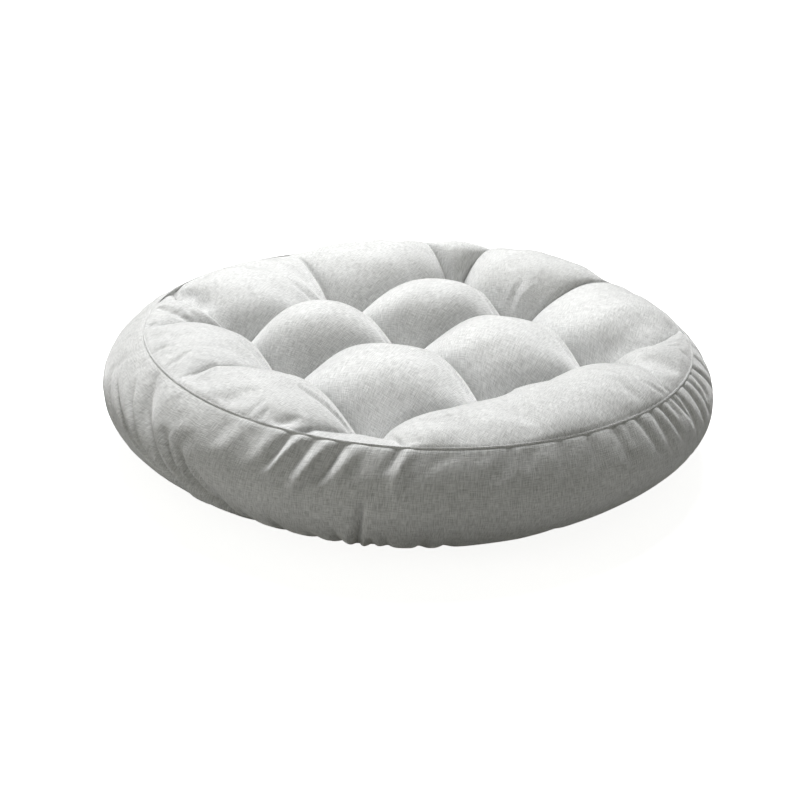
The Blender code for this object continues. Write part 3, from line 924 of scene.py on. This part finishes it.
@dataclass(frozen=True)
class Linen:
    """Light grey linen-look cloth: a plain weave with thick and thin threads, matt with a soft nap."""

    colour: tuple[float, float, float] = (0.62, 0.625, 0.62)
    slub_wide: float = 0.00055
    slub_long: float = 0.0060
    fleck: float = 0.0004
    warp_share: float = 0.52
    weft_share: float = 0.42
    fleck_share: float = 0.06
    thread_low: float = 0.36  # the noise of the threads runs mostly from here
    thread_high: float = 0.64  # to here
    contrast: float = 0.23
    wander: float = 0.0016
    wander_length: float = 0.014
    mottle: float = 0.035
    mottle_length: float = 0.030
    mottle_low: float = 0.3
    mottle_high: float = 0.7
    relief: float = 0.00012
    sheen: float = 0.8
    sheen_roughness: float = 0.35
    roughness: float = 0.95
    specular: float = 0.2

    def material(self, name: str) -> bpy.types.Material:
        """The cloth as a material that reads the cloth UV map, in metres.

        Args:
            name: the material's name.

        Returns:
            A node material.
        """
        made = bpy.data.materials.new(name)
        made.use_nodes = True
        tree = NodeTree(made.node_tree)
        place = self.wandering(tree, tree.add("ShaderNodeUVMap", uv_map="cloth"))
        warp = tree.noise(place, self.slub_wide, self.slub_long)
        weft = tree.noise(place, self.slub_long, self.slub_wide)
        flecks = tree.noise(place, self.fleck, self.fleck)
        woven = tree.sum_of(tree.scaled(warp, self.warp_share), tree.scaled(weft, self.weft_share))
        threads = tree.sum_of(woven, tree.scaled(flecks, self.fleck_share))
        cloudy = tree.noise(place, self.mottle_length, self.mottle_length)
        low, high = self.thread_low, self.thread_high
        shade = tree.spread(threads, low, high, 1 - self.contrast, 1 + self.contrast)
        patchy = tree.spread(cloudy, self.mottle_low, self.mottle_high, 1 - self.mottle, 1 + self.mottle)
        tint = tree.add("ShaderNodeVectorMath", operation="SCALE")
        tint.inputs[0].default_value = self.colour
        tree.join(tree.product_of(shade, patchy), 0, tint, "Scale")

        shader = tree.nodes["Principled BSDF"]
        tree.join(tint, "Vector", shader, "Base Color")
        shader.inputs["Roughness"].default_value = self.roughness
        shader.inputs["Sheen Weight"].default_value = self.sheen
        shader.inputs["Sheen Roughness"].default_value = self.sheen_roughness
        shader.inputs["Specular IOR Level"].default_value = self.specular
        bump = tree.add("ShaderNodeBump")
        bump.inputs["Strength"].default_value = 1.0
        bump.inputs["Distance"].default_value = self.relief / (high - low)
        tree.join(threads, 0, bump, "Height")
        tree.join(bump, "Normal", shader, "Normal")
        return made

    def wandering(self, tree: "NodeTree", place: Node) -> Node:
        """The same places pushed a little to and fro, so that no thread runs quite straight.

        Args:
            tree: the material's nodes.
            place: the node that gives the places on the cloth.

        Returns:
            The node that gives the pushed places.
        """
        drift = tree.noise(place, self.wander_length, self.wander_length, NoiseUse.DRIFT)
        centred = tree.add("ShaderNodeVectorMath", operation="SUBTRACT")
        tree.join(drift, "Color", centred, 0)
        centred.inputs[1].default_value = tree.noise_middle
        small = tree.add("ShaderNodeVectorMath", operation="SCALE")
        tree.join(centred, "Vector", small, 0)
        small.inputs["Scale"].default_value = self.wander
        moved = tree.add("ShaderNodeVectorMath", operation="ADD")
        tree.join(place, 0, moved, 0)
        tree.join(small, "Vector", moved, 1)
        return moved


class NodeTree:
    """A shader's nodes, with short calls to add and join them."""

    noise_detail = 2.0
    noise_roughness = 0.5
    noise_middle = (0.5, 0.5, 0.5)

    def __init__(self, tree: bpy.types.NodeTree) -> None:
        """Keep the tree that the calls add to."""
        self.tree = tree
        self.nodes = tree.nodes

    def add(self, kind: str, **settings: object) -> Node:
        """Add a node.

        Args:
            kind: its type.
            settings: values of its properties, by name.

        Returns:
            The new node.
        """
        node = self.nodes.new(kind)
        for name, value in settings.items():
            setattr(node, name, value)
        return node

    def join(self, source: Node, output: str | int, target: Node, socket: str | int) -> None:
        """Link an output of one node to an input of another."""
        self.tree.links.new(source.outputs[output], target.inputs[socket])

    def noise(self, place: Node, long_x: float, long_y: float, use: NoiseUse = NoiseUse.SHADE) -> Node:
        """Noise over the places that a node's first output gives.

        Args:
            place: the node that gives the places.
            long_x: size of its cells along the first axis, in metres.
            long_y: size of its cells along the second axis, in metres.
            use: what it is wanted for.

        Returns:
            The noise node.
        """
        stretched = self.add("ShaderNodeMapping", vector_type="POINT")
        stretched.inputs["Scale"].default_value = (1 / long_x, 1 / long_y, 1)
        self.join(place, 0, stretched, "Vector")
        noise = self.add("ShaderNodeTexNoise", noise_dimensions=use.value)
        noise.inputs["Scale"].default_value = 1.0
        noise.inputs["Detail"].default_value = self.noise_detail
        noise.inputs["Roughness"].default_value = self.noise_roughness
        self.join(stretched, "Vector", noise, "Vector")
        return noise

    def scaled(self, source: Node, factor: float) -> Node:
        """Multiply a node's first output.

        Args:
            source: the node.
            factor: what to multiply it by.

        Returns:
            The node that does it.
        """
        node = self.add("ShaderNodeMath", operation="MULTIPLY")
        self.join(source, 0, node, 0)
        node.inputs[1].default_value = factor
        return node

    def spread(self, source: Node, low: float, high: float, to_low: float, to_high: float) -> Node:
        """Map a node's first output from one range to another.

        Args:
            source: the node.
            low: where the first range starts.
            high: where it ends.
            to_low: where the second range starts.
            to_high: where it ends.

        Returns:
            The node that does it.
        """
        node = self.add("ShaderNodeMapRange")
        for socket, value in zip(("From Min", "From Max", "To Min", "To Max"), (low, high, to_low, to_high)):
            node.inputs[socket].default_value = value
        self.join(source, 0, node, "Value")
        return node

    def sum_of(self, first: Node, second: Node) -> Node:
        """A node that adds the first outputs of two others."""
        return self.maths(Maths.ADD, first, second)

    def product_of(self, first: Node, second: Node) -> Node:
        """A node that multiplies the first outputs of two others."""
        return self.maths(Maths.MULTIPLY, first, second)

    def maths(self, operation: Maths, first: Node, second: Node) -> Node:
        """Work on the first outputs of two nodes.

        Args:
            operation: what to make of them.
            first: one node.
            second: the other.

        Returns:
            The node that does it.
        """
        node = self.add("ShaderNodeMath", operation=operation.value)
        self.join(first, 0, node, 0)
        self.join(second, 0, node, 1)
        return node


# --- Settling the cloth --------------------------------------------------------------------------
@dataclass
class Sheets:
    """The cover's sheets of points, before the plan is centred.

    top and its flat cloth places are laid out by grid line both ways. band starts with the seam and runs
    down by rows, and each row runs once round anticlockwise. top_held and band_held say how firmly the
    sewing holds each point, from 0 to 1, and top_ease and band_ease how much loose cloth there is.
    """

    top: Field
    flat: Field
    band: Field
    down: Field
    round_deg: Field
    top_held: Field
    band_held: Field
    top_ease: Field
    band_ease: Field

    @staticmethod
    def rim(sheet: Field) -> Field:
        """The edge of a square sheet, once round anticlockwise."""
        sides = [sheet[:-1, 0], sheet[-1, :-1], sheet[:0:-1, -1], sheet[0, :0:-1]]
        return np.concatenate(sides)


FIRM = 0.5  # a point held more firmly than this stays where it is


def blurred(sheet: Field, passes: int, round_and_round: bool, held: Field | None = None) -> Field:
    """A sheet of values smoothed over its neighbours.

    Args:
        sheet: values by row and column.
        passes: how many times to smooth.
        round_and_round: whether the columns close into a ring.
        held: how firmly each value is held, from 0 to 1; the firmly held ones stay 0.

    Returns:
        The smoothed sheet.
    """
    ends = "wrap" if round_and_round else "edge"
    for _ in range(passes):
        rows = np.pad(sheet, ((1, 1), (0, 0), (0, 0)), mode="edge")
        sheet = (rows[:-2] + 2 * rows[1:-1] + rows[2:]) / 4
        columns = np.pad(sheet, ((0, 0), (1, 1), (0, 0)), mode=ends)
        sheet = (columns[:, :-2] + 2 * columns[:, 1:-1] + columns[:, 2:]) / 4
        if held is not None:
            sheet = np.where(held[..., None] > FIRM, 0.0, sheet)
    return sheet


def doubled(sheet: Field, axis: int, ring: bool) -> Field:
    """Twice as many values one way, the new ones on a smooth curve through the old.

    Args:
        sheet: values by row and column.
        axis: the way, 0 down the rows and 1 along the columns.
        ring: whether the values close into a ring that way.

    Returns:
        The sheet with one more value between each pair.
    """
    held = np.moveaxis(sheet, axis, 0)
    before, after = np.roll(held, 1, 0), np.roll(held, -1, 0)
    beyond = np.roll(held, -2, 0)
    if not ring:
        before[0] = held[0]
        after[-1] = held[-1]
        beyond[-2:] = held[-1]
    between = (9 * (held + after) - before - beyond) / 16
    merged = np.stack([held, between], 1).reshape(-1, *held.shape[1:])
    if not ring:
        merged = merged[:-1]
    return np.moveaxis(merged, 0, axis)


@dataclass(frozen=True)
class Settling:
    """Lets the sewn cover settle as cloth over its pressed filling.

    Only what the cloth does by itself is kept: the small puckers and wrinkles that loose cloth makes
    beside a seam and round a tuft. The large forms stay as they were laid out.
    """

    frames: int = 14
    steps: int = 4  # to a frame
    pressure: float = 4.0
    ease: float = 0.035  # how much larger the cloth is cut where it is wholly loose
    mass: float = 0.15
    stretch: float = 25.0
    shear_part: float = 3.0  # a weave shears this many times more easily than it stretches
    bend: float = 1.5
    damping: float = 20.0
    shear_damping: float = 10.0
    air_damping: float = 4.0
    weight_levels: int = 10
    farthest: float = 0.0045  # about how far a pucker may move a point
    smooth_passes: int = 1
    form_passes: int = 18  # smoothing passes that leave the large forms alone

    def moves(self, sheets: Sheets) -> tuple[Field, Field]:
        """How the settling moves the cloth.

        Args:
            sheets: the cover as laid out.

        Returns:
            The moves of the top panel's points and of the band's, at twice the sheets' lines each way.
        """
        skin = Skin()
        top = skin.add_points(sheets.top)
        skin.add_sheet(top, sheets.flat)
        lower = skin.add_points(sheets.band[1:])
        band = np.concatenate([Sheets.rim(top)[None], lower])
        closed = np.concatenate([band, band[:, :1]], 1)
        skin.add_sheet(closed, np.zeros((*closed.shape, 2)))
        cloth = skin.piece("cloth that settles", caps=(band[-1],))
        before = np.concatenate(skin.points)
        held, ease = np.zeros(skin.count), np.zeros(skin.count)
        held[top], ease[top] = sheets.top_held, sheets.top_ease
        held[lower], ease[lower] = sheets.band_held[1:], sheets.band_ease[1:]
        self.weigh(cloth, "held", held)
        self.weigh(cloth, "tight", 1 - ease)
        after = self.simulated(cloth, skin.count)
        bpy.data.meshes.remove(cloth.data)
        moved = after - before
        reach = np.linalg.norm(moved, axis=1)
        log.info("settling moved the cloth %.1f mm at most", MM * reach.max())
        top_move = self.small_part(moved[top], sheets.top_held, False)
        band_move = self.small_part(moved[band], sheets.band_held, True)
        return top_move, band_move

    def weigh(self, cloth: bpy.types.Object, name: str, weights: Field) -> None:
        """Give the cloth a group of points.

        Args:
            cloth: the cloth.
            name: the group's name.
            weights: each point's weight, from 0 to 1, which is rounded to one of a few levels.
        """
        group = cloth.vertex_groups.new(name=name)
        for level in range(1, self.weight_levels + 1):
            chosen = np.nonzero(np.round(weights * self.weight_levels) == level)[0]
            group.add(chosen.tolist(), level / self.weight_levels, "REPLACE")

    def simulated(self, cloth: bpy.types.Object, count: int) -> Field:
        """Where the cloth's points come to rest.

        Args:
            cloth: the cloth as laid out.
            count: how many points it has.

        Returns:
            The points at the last frame.
        """
        settle = cloth.modifiers.new("settle", "CLOTH")
        rules = settle.settings
        rules.quality = self.steps
        rules.mass = self.mass
        rules.tension_stiffness = rules.compression_stiffness = self.stretch
        rules.shear_stiffness = self.stretch / self.shear_part
        rules.bending_stiffness = self.bend
        rules.tension_damping = rules.compression_damping = self.damping
        rules.shear_damping = self.shear_damping
        rules.air_damping = self.air_damping
        rules.use_pressure = True
        rules.uniform_pressure_force = self.pressure
        rules.vertex_group_mass = "held"
        rules.vertex_group_shrink = "tight"
        rules.shrink_min = -self.ease
        rules.shrink_max = 0
        rules.effector_weights.gravity = 0
        settle.collision_settings.use_collision = False
        settle.point_cache.frame_end = self.frames
        scene = bpy.context.scene
        scene.frame_end = self.frames
        for number in range(1, self.frames + 1):
            scene.frame_set(number)
        seen = cloth.evaluated_get(bpy.context.evaluated_depsgraph_get())
        points = np.empty(3 * count, np.float32)
        seen.data.vertices.foreach_get("co", points)
        scene.frame_set(1)
        return points.reshape(-1, 3).astype(float)

    def small_part(self, move: Field, held: Field, ring: bool) -> Field:
        """The small part of a move, without its large forms.

        Args:
            move: how each point moved.
            held: how firmly each point is held, from 0 to 1.
            ring: whether the columns close into a ring.

        Returns:
            The move, at most about farthest long, at twice the lines each way.
        """
        forms = blurred(move, self.form_passes, ring, held)
        small = blurred(move - forms, self.smooth_passes, ring)
        long = np.linalg.norm(small, axis=-1, keepdims=True)
        small *= np.tanh(long / self.farthest) * self.farthest / np.maximum(long, TINY)
        return doubled(doubled(small, 0, False), 1, ring)


# --- The sub-assemblies --------------------------------------------------------------------------
@dataclass
class Cover:
    """The stuffed cover: top panel, side band and underside panel, edge to edge all round."""

    plan: Plan
    seam: SeamLine
    top: TopPanel
    band: SideBand
    finish: Linen
    settling: Settling = Settling()
    steps: int = 72  # lines in each unit square of the top panel, an even number
    line_ease: float = 0.36  # over 0, so the lines crowd towards the channels
    band_rows: int = 72  # an even number
    band_row_ease: float = 1.3  # over 1, so the rows crowd towards the seam
    under_rows: int = 8
    tuft_reach: float = 0.004  # how far round a tuft the stitch holds the cloth
    channel_hold: float = 0.5
    seam_hold: float = 0.12  # how far the sewing holds the cloth still beside the seam, in the grid
    lumps: Ripple = Ripple(length=0.045, height=0.0006, seed=5)
    lump_rise: float = 0.02  # the lumps come up over this height above the tufts

    def lines(self, steps: int) -> Field:
        """Where the top panel's lines run.

        Args:
            steps: how many lines there are in each unit square.

        Returns:
            Their grid coordinates, crowded towards the channels.
        """
        even = np.linspace(-SEAM_AT, SEAM_AT, 2 * SEAM_AT * steps + 1)
        square = np.minimum(np.floor(even), 1)
        share = even - square
        return square + mix(share, np.sin(np.pi / 2 * share) ** 2, self.line_ease)

    def sheets(self, steps: int, rows: int) -> Sheets:
        """The cover as laid out.

        Args:
            steps: lines in each unit square of the top panel.
            rows: rows down the band.

        Returns:
            Its sheets.
        """
        s, t = np.meshgrid(self.lines(steps), self.lines(steps), indexing="ij")
        top, at_deg, flat = self.top.surface(s, t)
        lumps = self.lumps.over(top) * smooth((top[..., 2] - self.top.tuft_height) / self.lump_rise)
        top[..., 2] += np.where(self.on_seam(s, t), 0.0, self.top.lifted(top) + lumps)
        edge_deg = Sheets.rim(at_deg)
        down = np.linspace(0, 1, rows + 1) ** self.band_row_ease
        at, lower = np.broadcast_arrays(edge_deg[None], down[1:, None])
        band = np.concatenate([Sheets.rim(top)[None], self.band.surface(at, lower)])
        band_held = np.zeros(band.shape[:2])
        band_held[0] = band_held[-1] = 1
        return Sheets(
            top=top,
            flat=flat,
            band=band,
            down=down,
            round_deg=edge_deg,
            top_held=self.top_held(s, t, top),
            band_held=band_held,
            top_ease=self.top.loose(s, t, at_deg),
            band_ease=self.band.loose(*np.broadcast_arrays(edge_deg[None], down[:, None])),
        )

    @staticmethod
    def on_seam(s: Field, t: Field) -> Field:
        """Whether each place of the grid lies on the seam."""
        return np.maximum(np.abs(s), np.abs(t)) > SEAM_AT - ON_LINE

    def top_held(self, s: Field, t: Field, points: Field) -> Field:
        """How firmly the sewing holds the top panel: wholly at the seam and at the tufts.

        Args:
            s: first grid coordinate of each point.
            t: second grid coordinate.
            points: the points.

        Returns:
            How firmly each point is held, from 0 to 1.
        """
        tufts = self.top.tuft_plan().reshape(-1, 2)
        away = np.linalg.norm(points[..., None, :2] - tufts, axis=-1).min(-1)
        inside = np.maximum(np.abs(s), np.abs(t)) < 1 + ON_LINE
        on_line = np.minimum(np.abs(s - np.round(s)), np.abs(t - np.round(t))) < ON_LINE
        channel = np.where(inside & on_line, self.channel_hold, 0.0)
        return np.where(self.on_seam(s, t) | (away < self.tuft_reach), 1.0, channel)

    def settled(self) -> Sheets:
        """Let the cloth settle over the filling.

        Returns:
            The cover's sheets after that.
        """
        sheets = self.sheets(self.steps, self.band_rows)
        coarse = self.sheets(self.steps // 2, self.band_rows // 2)
        top_move, band_move = self.settling.moves(coarse)
        lines = np.abs(self.lines(self.steps))
        inside = SEAM_AT - np.maximum(lines[:, None], lines[None, :])
        sheets.top += top_move * smooth(inside / self.seam_hold)[..., None]
        sheets.band += band_move * smooth(sheets.down / (self.seam_hold / 2))[:, None, None]
        return sheets

    def build(self) -> list[bpy.types.Object]:
        """Sew the cover: the top panel, and the band with the underside panel."""
        sheets = self.settled()
        return [self.top_panel(sheets), self.side_band(sheets)]

    def top_panel(self, sheets: Sheets) -> bpy.types.Object:
        """Build the tufted top panel and dress it.

        Args:
            sheets: the cover's sheets.

        Returns:
            The piece.
        """
        skin = Skin()
        numbers = skin.add_points(self.plan.placed(sheets.top))
        skin.add_sheet(numbers, sheets.flat)
        return self.dressed(skin.piece("top_panel"))

    def side_band(self, sheets: Sheets) -> bpy.types.Object:
        """Build the band from the top panel's edge down, with the underside panel in its foot.

        Args:
            sheets: the cover's sheets.

        Returns:
            The piece.
        """
        shrink = np.cos(np.linspace(0, np.pi / 2, self.under_rows + 1)[1:-1])
        under = np.stack([self.band.foot_edge(sheets.round_deg, share) for share in shrink])
        edge = Sheets.rim(sheets.top)[None]
        skin = Skin()
        numbers = skin.add_points(self.plan.placed(np.concatenate([edge, sheets.band[1:], under])))
        closed = np.concatenate([numbers, numbers[:, :1]], 1)
        start = sheets.round_deg[0]
        round_deg = np.concatenate([(sheets.round_deg - start) % 360, [360.0]])
        girth = np.concatenate([sheets.down, 1 + (1 - shrink) * self.band.foot_radius / self.band.girth])
        along = np.radians(round_deg) * self.plan.diameter / 2
        cloth = np.stack(np.broadcast_arrays(along[None, :], -girth[:, None] * self.band.girth), -1)
        skin.add_sheet(closed, cloth)
        return self.dressed(skin.piece("side_band", caps=(numbers[-1],)))

    def dressed(self, piece: bpy.types.Object) -> bpy.types.Object:
        """Dress a piece in its cloth, hang it from the cushion's root and hide the CAD part.

        Args:
            piece: the piece.

        Returns:
            The same piece.
        """
        piece.data.materials.append(self.finish.material("linen cloth"))
        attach(piece, "root")
        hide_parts(CAD_NODE)
        return piece


@dataclass
class TopSeam:
    """The seam's two turned-in edges, side by side: a narrow double ridge in the groove all round."""

    plan: Plan
    seam: SeamLine
    finish: Linen
    wide: float = 0.0012
    tall: float = 0.0010
    depth: float = 0.0005  # how far its middle lies under the seam line
    sides: int = 16
    part: float = 0.60  # how deep the two edges part, as a share of their height
    part_wide: float = 0.30
    columns: int = 1120
    stitch: float = 0.0032  # stitch to stitch along the seam
    pinch: float = 0.10  # how much smaller the ridge is at a stitch
    pinch_power: int = 8  # over 1, so a pinch is short

    def build(self) -> list[bpy.types.Object]:
        """Build the ridge and dress it.

        Returns:
            The one piece, in a list.
        """
        at_deg = np.linspace(0, 360, self.columns, endpoint=False)
        path = self.seam.points(at_deg)
        path[:, 2] -= self.depth
        outward = self.plan.outward(at_deg)
        up = (outward + np.array([0, 0, 1.0])) / np.sqrt(2)
        aside = (outward - np.array([0, 0, 1.0])) / np.sqrt(2)
        length = np.radians(at_deg) * self.seam.radius
        pinched = 1 - self.pinch * np.cos(2 * np.pi * length / self.stitch) ** self.pinch_power
        turn = np.linspace(0, 2 * np.pi, self.sides, endpoint=False)
        rings = []
        for angle in turn:
            across = aside * (self.wide / 2 * np.cos(angle) * pinched)[:, None]
            parted = 1 - self.part * np.exp(-((np.cos(angle) / self.part_wide) ** 2))
            height = self.tall / 2 * np.sin(angle) * (parted if np.sin(angle) > 0 else 1.0)
            rings.append(path + across + up * (height * pinched)[:, None])
        points = np.stack(rings, 1)
        skin = Skin()
        numbers = skin.add_points(self.plan.placed(points))
        closed = np.concatenate([numbers, numbers[:1]], 0)
        closed = np.concatenate([closed, closed[:, :1]], 1)
        along = np.concatenate([length, [2 * np.pi * self.seam.radius]])
        around = np.arange(self.sides + 1) * self.wide / 2
        cloth = np.stack(np.broadcast_arrays(along[:, None], around[None, :]), -1)
        skin.add_sheet(closed, cloth)
        piece = skin.piece("top_seam")
        piece.data.materials.append(self.finish.material("linen seam edge"))
        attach(piece, "root")
        return [piece]


# --- The studio ----------------------------------------------------------------------------------
class SunLight(NamedTuple):
    """A wide soft light.

    It shines from at_deg in plan and up_deg above the horizon, with this strength in watts on a square
    metre that faces it. A wider one makes softer shadows, and warmth is how much blue it lacks.
    """

    name: str
    at_deg: float
    up_deg: float
    strength: float
    wide_deg: float
    warmth: float


@dataclass
class Studio:
    """A plain pale floor, soft light from behind and above with two weak fills, and the camera."""

    camera_at: tuple[float, float, float] = (-0.0004, -0.9252, 0.4146)
    camera_aim: tuple[float, float, float] = (-0.0030, -0.0046, 0.0238)
    lens_mm: float = 68.13
    sensor_mm: float = 36.0
    floor_radius: float = 30.0
    floor_corners: int = 64
    floor_tone: float = 0.60
    floor_glow: float = 0.90  # the floor is a pale light table, so shadows on it stay faint
    floor_colour: tuple[float, float, float, float] = (1.0, 1.0, 0.99, 1)
    floor_return: float = 0.30  # its tone as the cushion sees it
    sky_above: float = 0.12
    sky_below: float = 0.70
    sky_turn: float = 0.25  # how far each side of the horizon the one passes into the other
    sky_colour: tuple[float, float, float, float] = (1.0, 1.01, 0.985, 1)
    suns: tuple[SunLight, ...] = (
        SunLight("key light", 92.0, 50.0, 3.82, 28.0, 0.0),
        SunLight("low fill", 282.0, 3.0, 0.40, 60.0, 0.25),
        SunLight("left fill", 186.0, 6.0, 0.55, 16.0, 0.1),
    )
    green_loss: float = 0.15  # how much of the green goes with the blue in a warm light
    lamp_deg: float = 112.0
    lamp_up_deg: float = 54.0
    lamp_away: float = 0.62
    lamp_watts: float = 2.5
    lamp_wide: float = 0.3
    lamp_aim: tuple[float, float, float] = (0, 0, 0.06)

    def build(self) -> None:
        """Add the floor, the lights and the camera."""
        self.floor()
        for light in self.suns:
            self.sun(light)
        self.lamp()
        self.sky()
        self.camera()
        bpy.context.scene.view_settings.view_transform = "Standard"

    def floor(self) -> None:
        """A wide pale disc at height 0, which throws less light back on the cushion than it shows."""
        corners, radius = self.floor_corners, self.floor_radius
        bpy.ops.mesh.primitive_circle_add(vertices=corners, radius=radius, fill_type="NGON")
        floor = bpy.context.object
        floor.name = "floor"
        paint = bpy.data.materials.new("pale floor")
        paint.use_nodes = True
        tree = NodeTree(paint.node_tree)
        seen = tree.add("ShaderNodeLightPath")
        shader = tree.nodes["Principled BSDF"]
        shader.inputs["Roughness"].default_value = 1.0
        shader.inputs["Specular IOR Level"].default_value = 0.0
        shader.inputs["Emission Color"].default_value = self.floor_colour
        tree.join(tree.spread(seen, 0, 1, self.floor_return, self.floor_tone), 0, shader, "Base Color")
        tree.join(tree.spread(seen, 0, 1, 0, self.floor_glow), 0, shader, "Emission Strength")
        floor.data.materials.append(paint)

    def sun(self, light: SunLight) -> None:
        """Add a wide soft light.

        Args:
            light: the light.
        """
        lamp = bpy.data.lights.new(light.name, "SUN")
        lamp.energy = light.strength
        lamp.angle = np.radians(light.wide_deg)
        lamp.color = (1.0, 1.0 - self.green_loss * light.warmth, 1.0 - light.warmth)
        holder = bpy.data.objects.new(light.name, lamp)
        towards = self.towards(light.at_deg, light.up_deg)
        holder.rotation_euler = towards.to_track_quat("Z", "Y").to_euler()
        bpy.context.scene.collection.objects.link(holder)

    def lamp(self) -> None:
        """Add a round lamp close to the cushion, so that its light falls off across it."""
        disc = bpy.data.lights.new("side lamp", "AREA")
        disc.shape = "DISK"
        disc.size = self.lamp_wide
        disc.energy = self.lamp_watts
        holder = bpy.data.objects.new("side lamp", disc)
        towards = self.towards(self.lamp_deg, self.lamp_up_deg)
        holder.location = towards * self.lamp_away + Vector(self.lamp_aim)
        holder.rotation_euler = towards.to_track_quat("Z", "Y").to_euler()
        bpy.context.scene.collection.objects.link(holder)

    @staticmethod
    def towards(at_deg: float, up_deg: float) -> Vector:
        """The direction at this plan angle and this height above the horizon."""
        level, up = np.cos(np.radians(up_deg)), np.sin(np.radians(up_deg))
        return Vector((level * np.cos(np.radians(at_deg)), level * np.sin(np.radians(at_deg)), up))

    def sky(self) -> None:
        """Soft light from all round, strongest from low down, as in a pale room with a pale floor."""
        world = bpy.data.worlds.new("soft room light")
        world.use_nodes = True
        tree = NodeTree(world.node_tree)
        place = tree.add("ShaderNodeTexCoord")
        parts = tree.add("ShaderNodeSeparateXYZ")
        tree.join(place, "Generated", parts, "Vector")
        level = tree.add("ShaderNodeMapRange", interpolation_type="SMOOTHSTEP")
        level.inputs["From Min"].default_value = -self.sky_turn
        level.inputs["From Max"].default_value = self.sky_turn
        level.inputs["To Min"].default_value = self.sky_below
        level.inputs["To Max"].default_value = self.sky_above
        tree.join(parts, "Z", level, "Value")
        background = tree.nodes["Background"]
        background.inputs["Color"].default_value = self.sky_colour
        seen = tree.add("ShaderNodeLightPath")
        tree.join(tree.maths(Maths.LARGER, seen, level), 0, background, "Strength")
        bpy.context.scene.world = world

    def camera(self) -> None:
        """The camera, looking down on the front at about 22 degrees."""
        lens = bpy.data.cameras.new("camera")
        lens.lens = self.lens_mm
        lens.sensor_width = self.sensor_mm
        camera = bpy.data.objects.new("camera", lens)
        camera.location = self.camera_at
        gaze = Vector(self.camera_aim) - Vector(self.camera_at)
        camera.rotation_euler = gaze.to_track_quat("-Z", "Y").to_euler()
        bpy.context.scene.collection.objects.link(camera)
        bpy.context.scene.camera = camera


def main() -> None:
    """Build the cushion's pieces in order, then the studio round them."""
    logging.basicConfig(level=logging.INFO, format="%(name)s: %(message)s")
    plan = Plan()
    seam = SeamLine(plan)
    linen = Linen()
    cover = Cover(plan, seam, TopPanel(plan, seam), SideBand(plan, seam), linen)
    top_seam = TopSeam(plan, seam, linen)
    for part in (cover, top_seam):
        for piece in part.build():
            count = len(piece.data.vertices), len(piece.data.polygons)
            log.info("%s: %d points, %d faces", piece.name, *count)
    Studio().build()


if __name__ == "__main__":
    main()
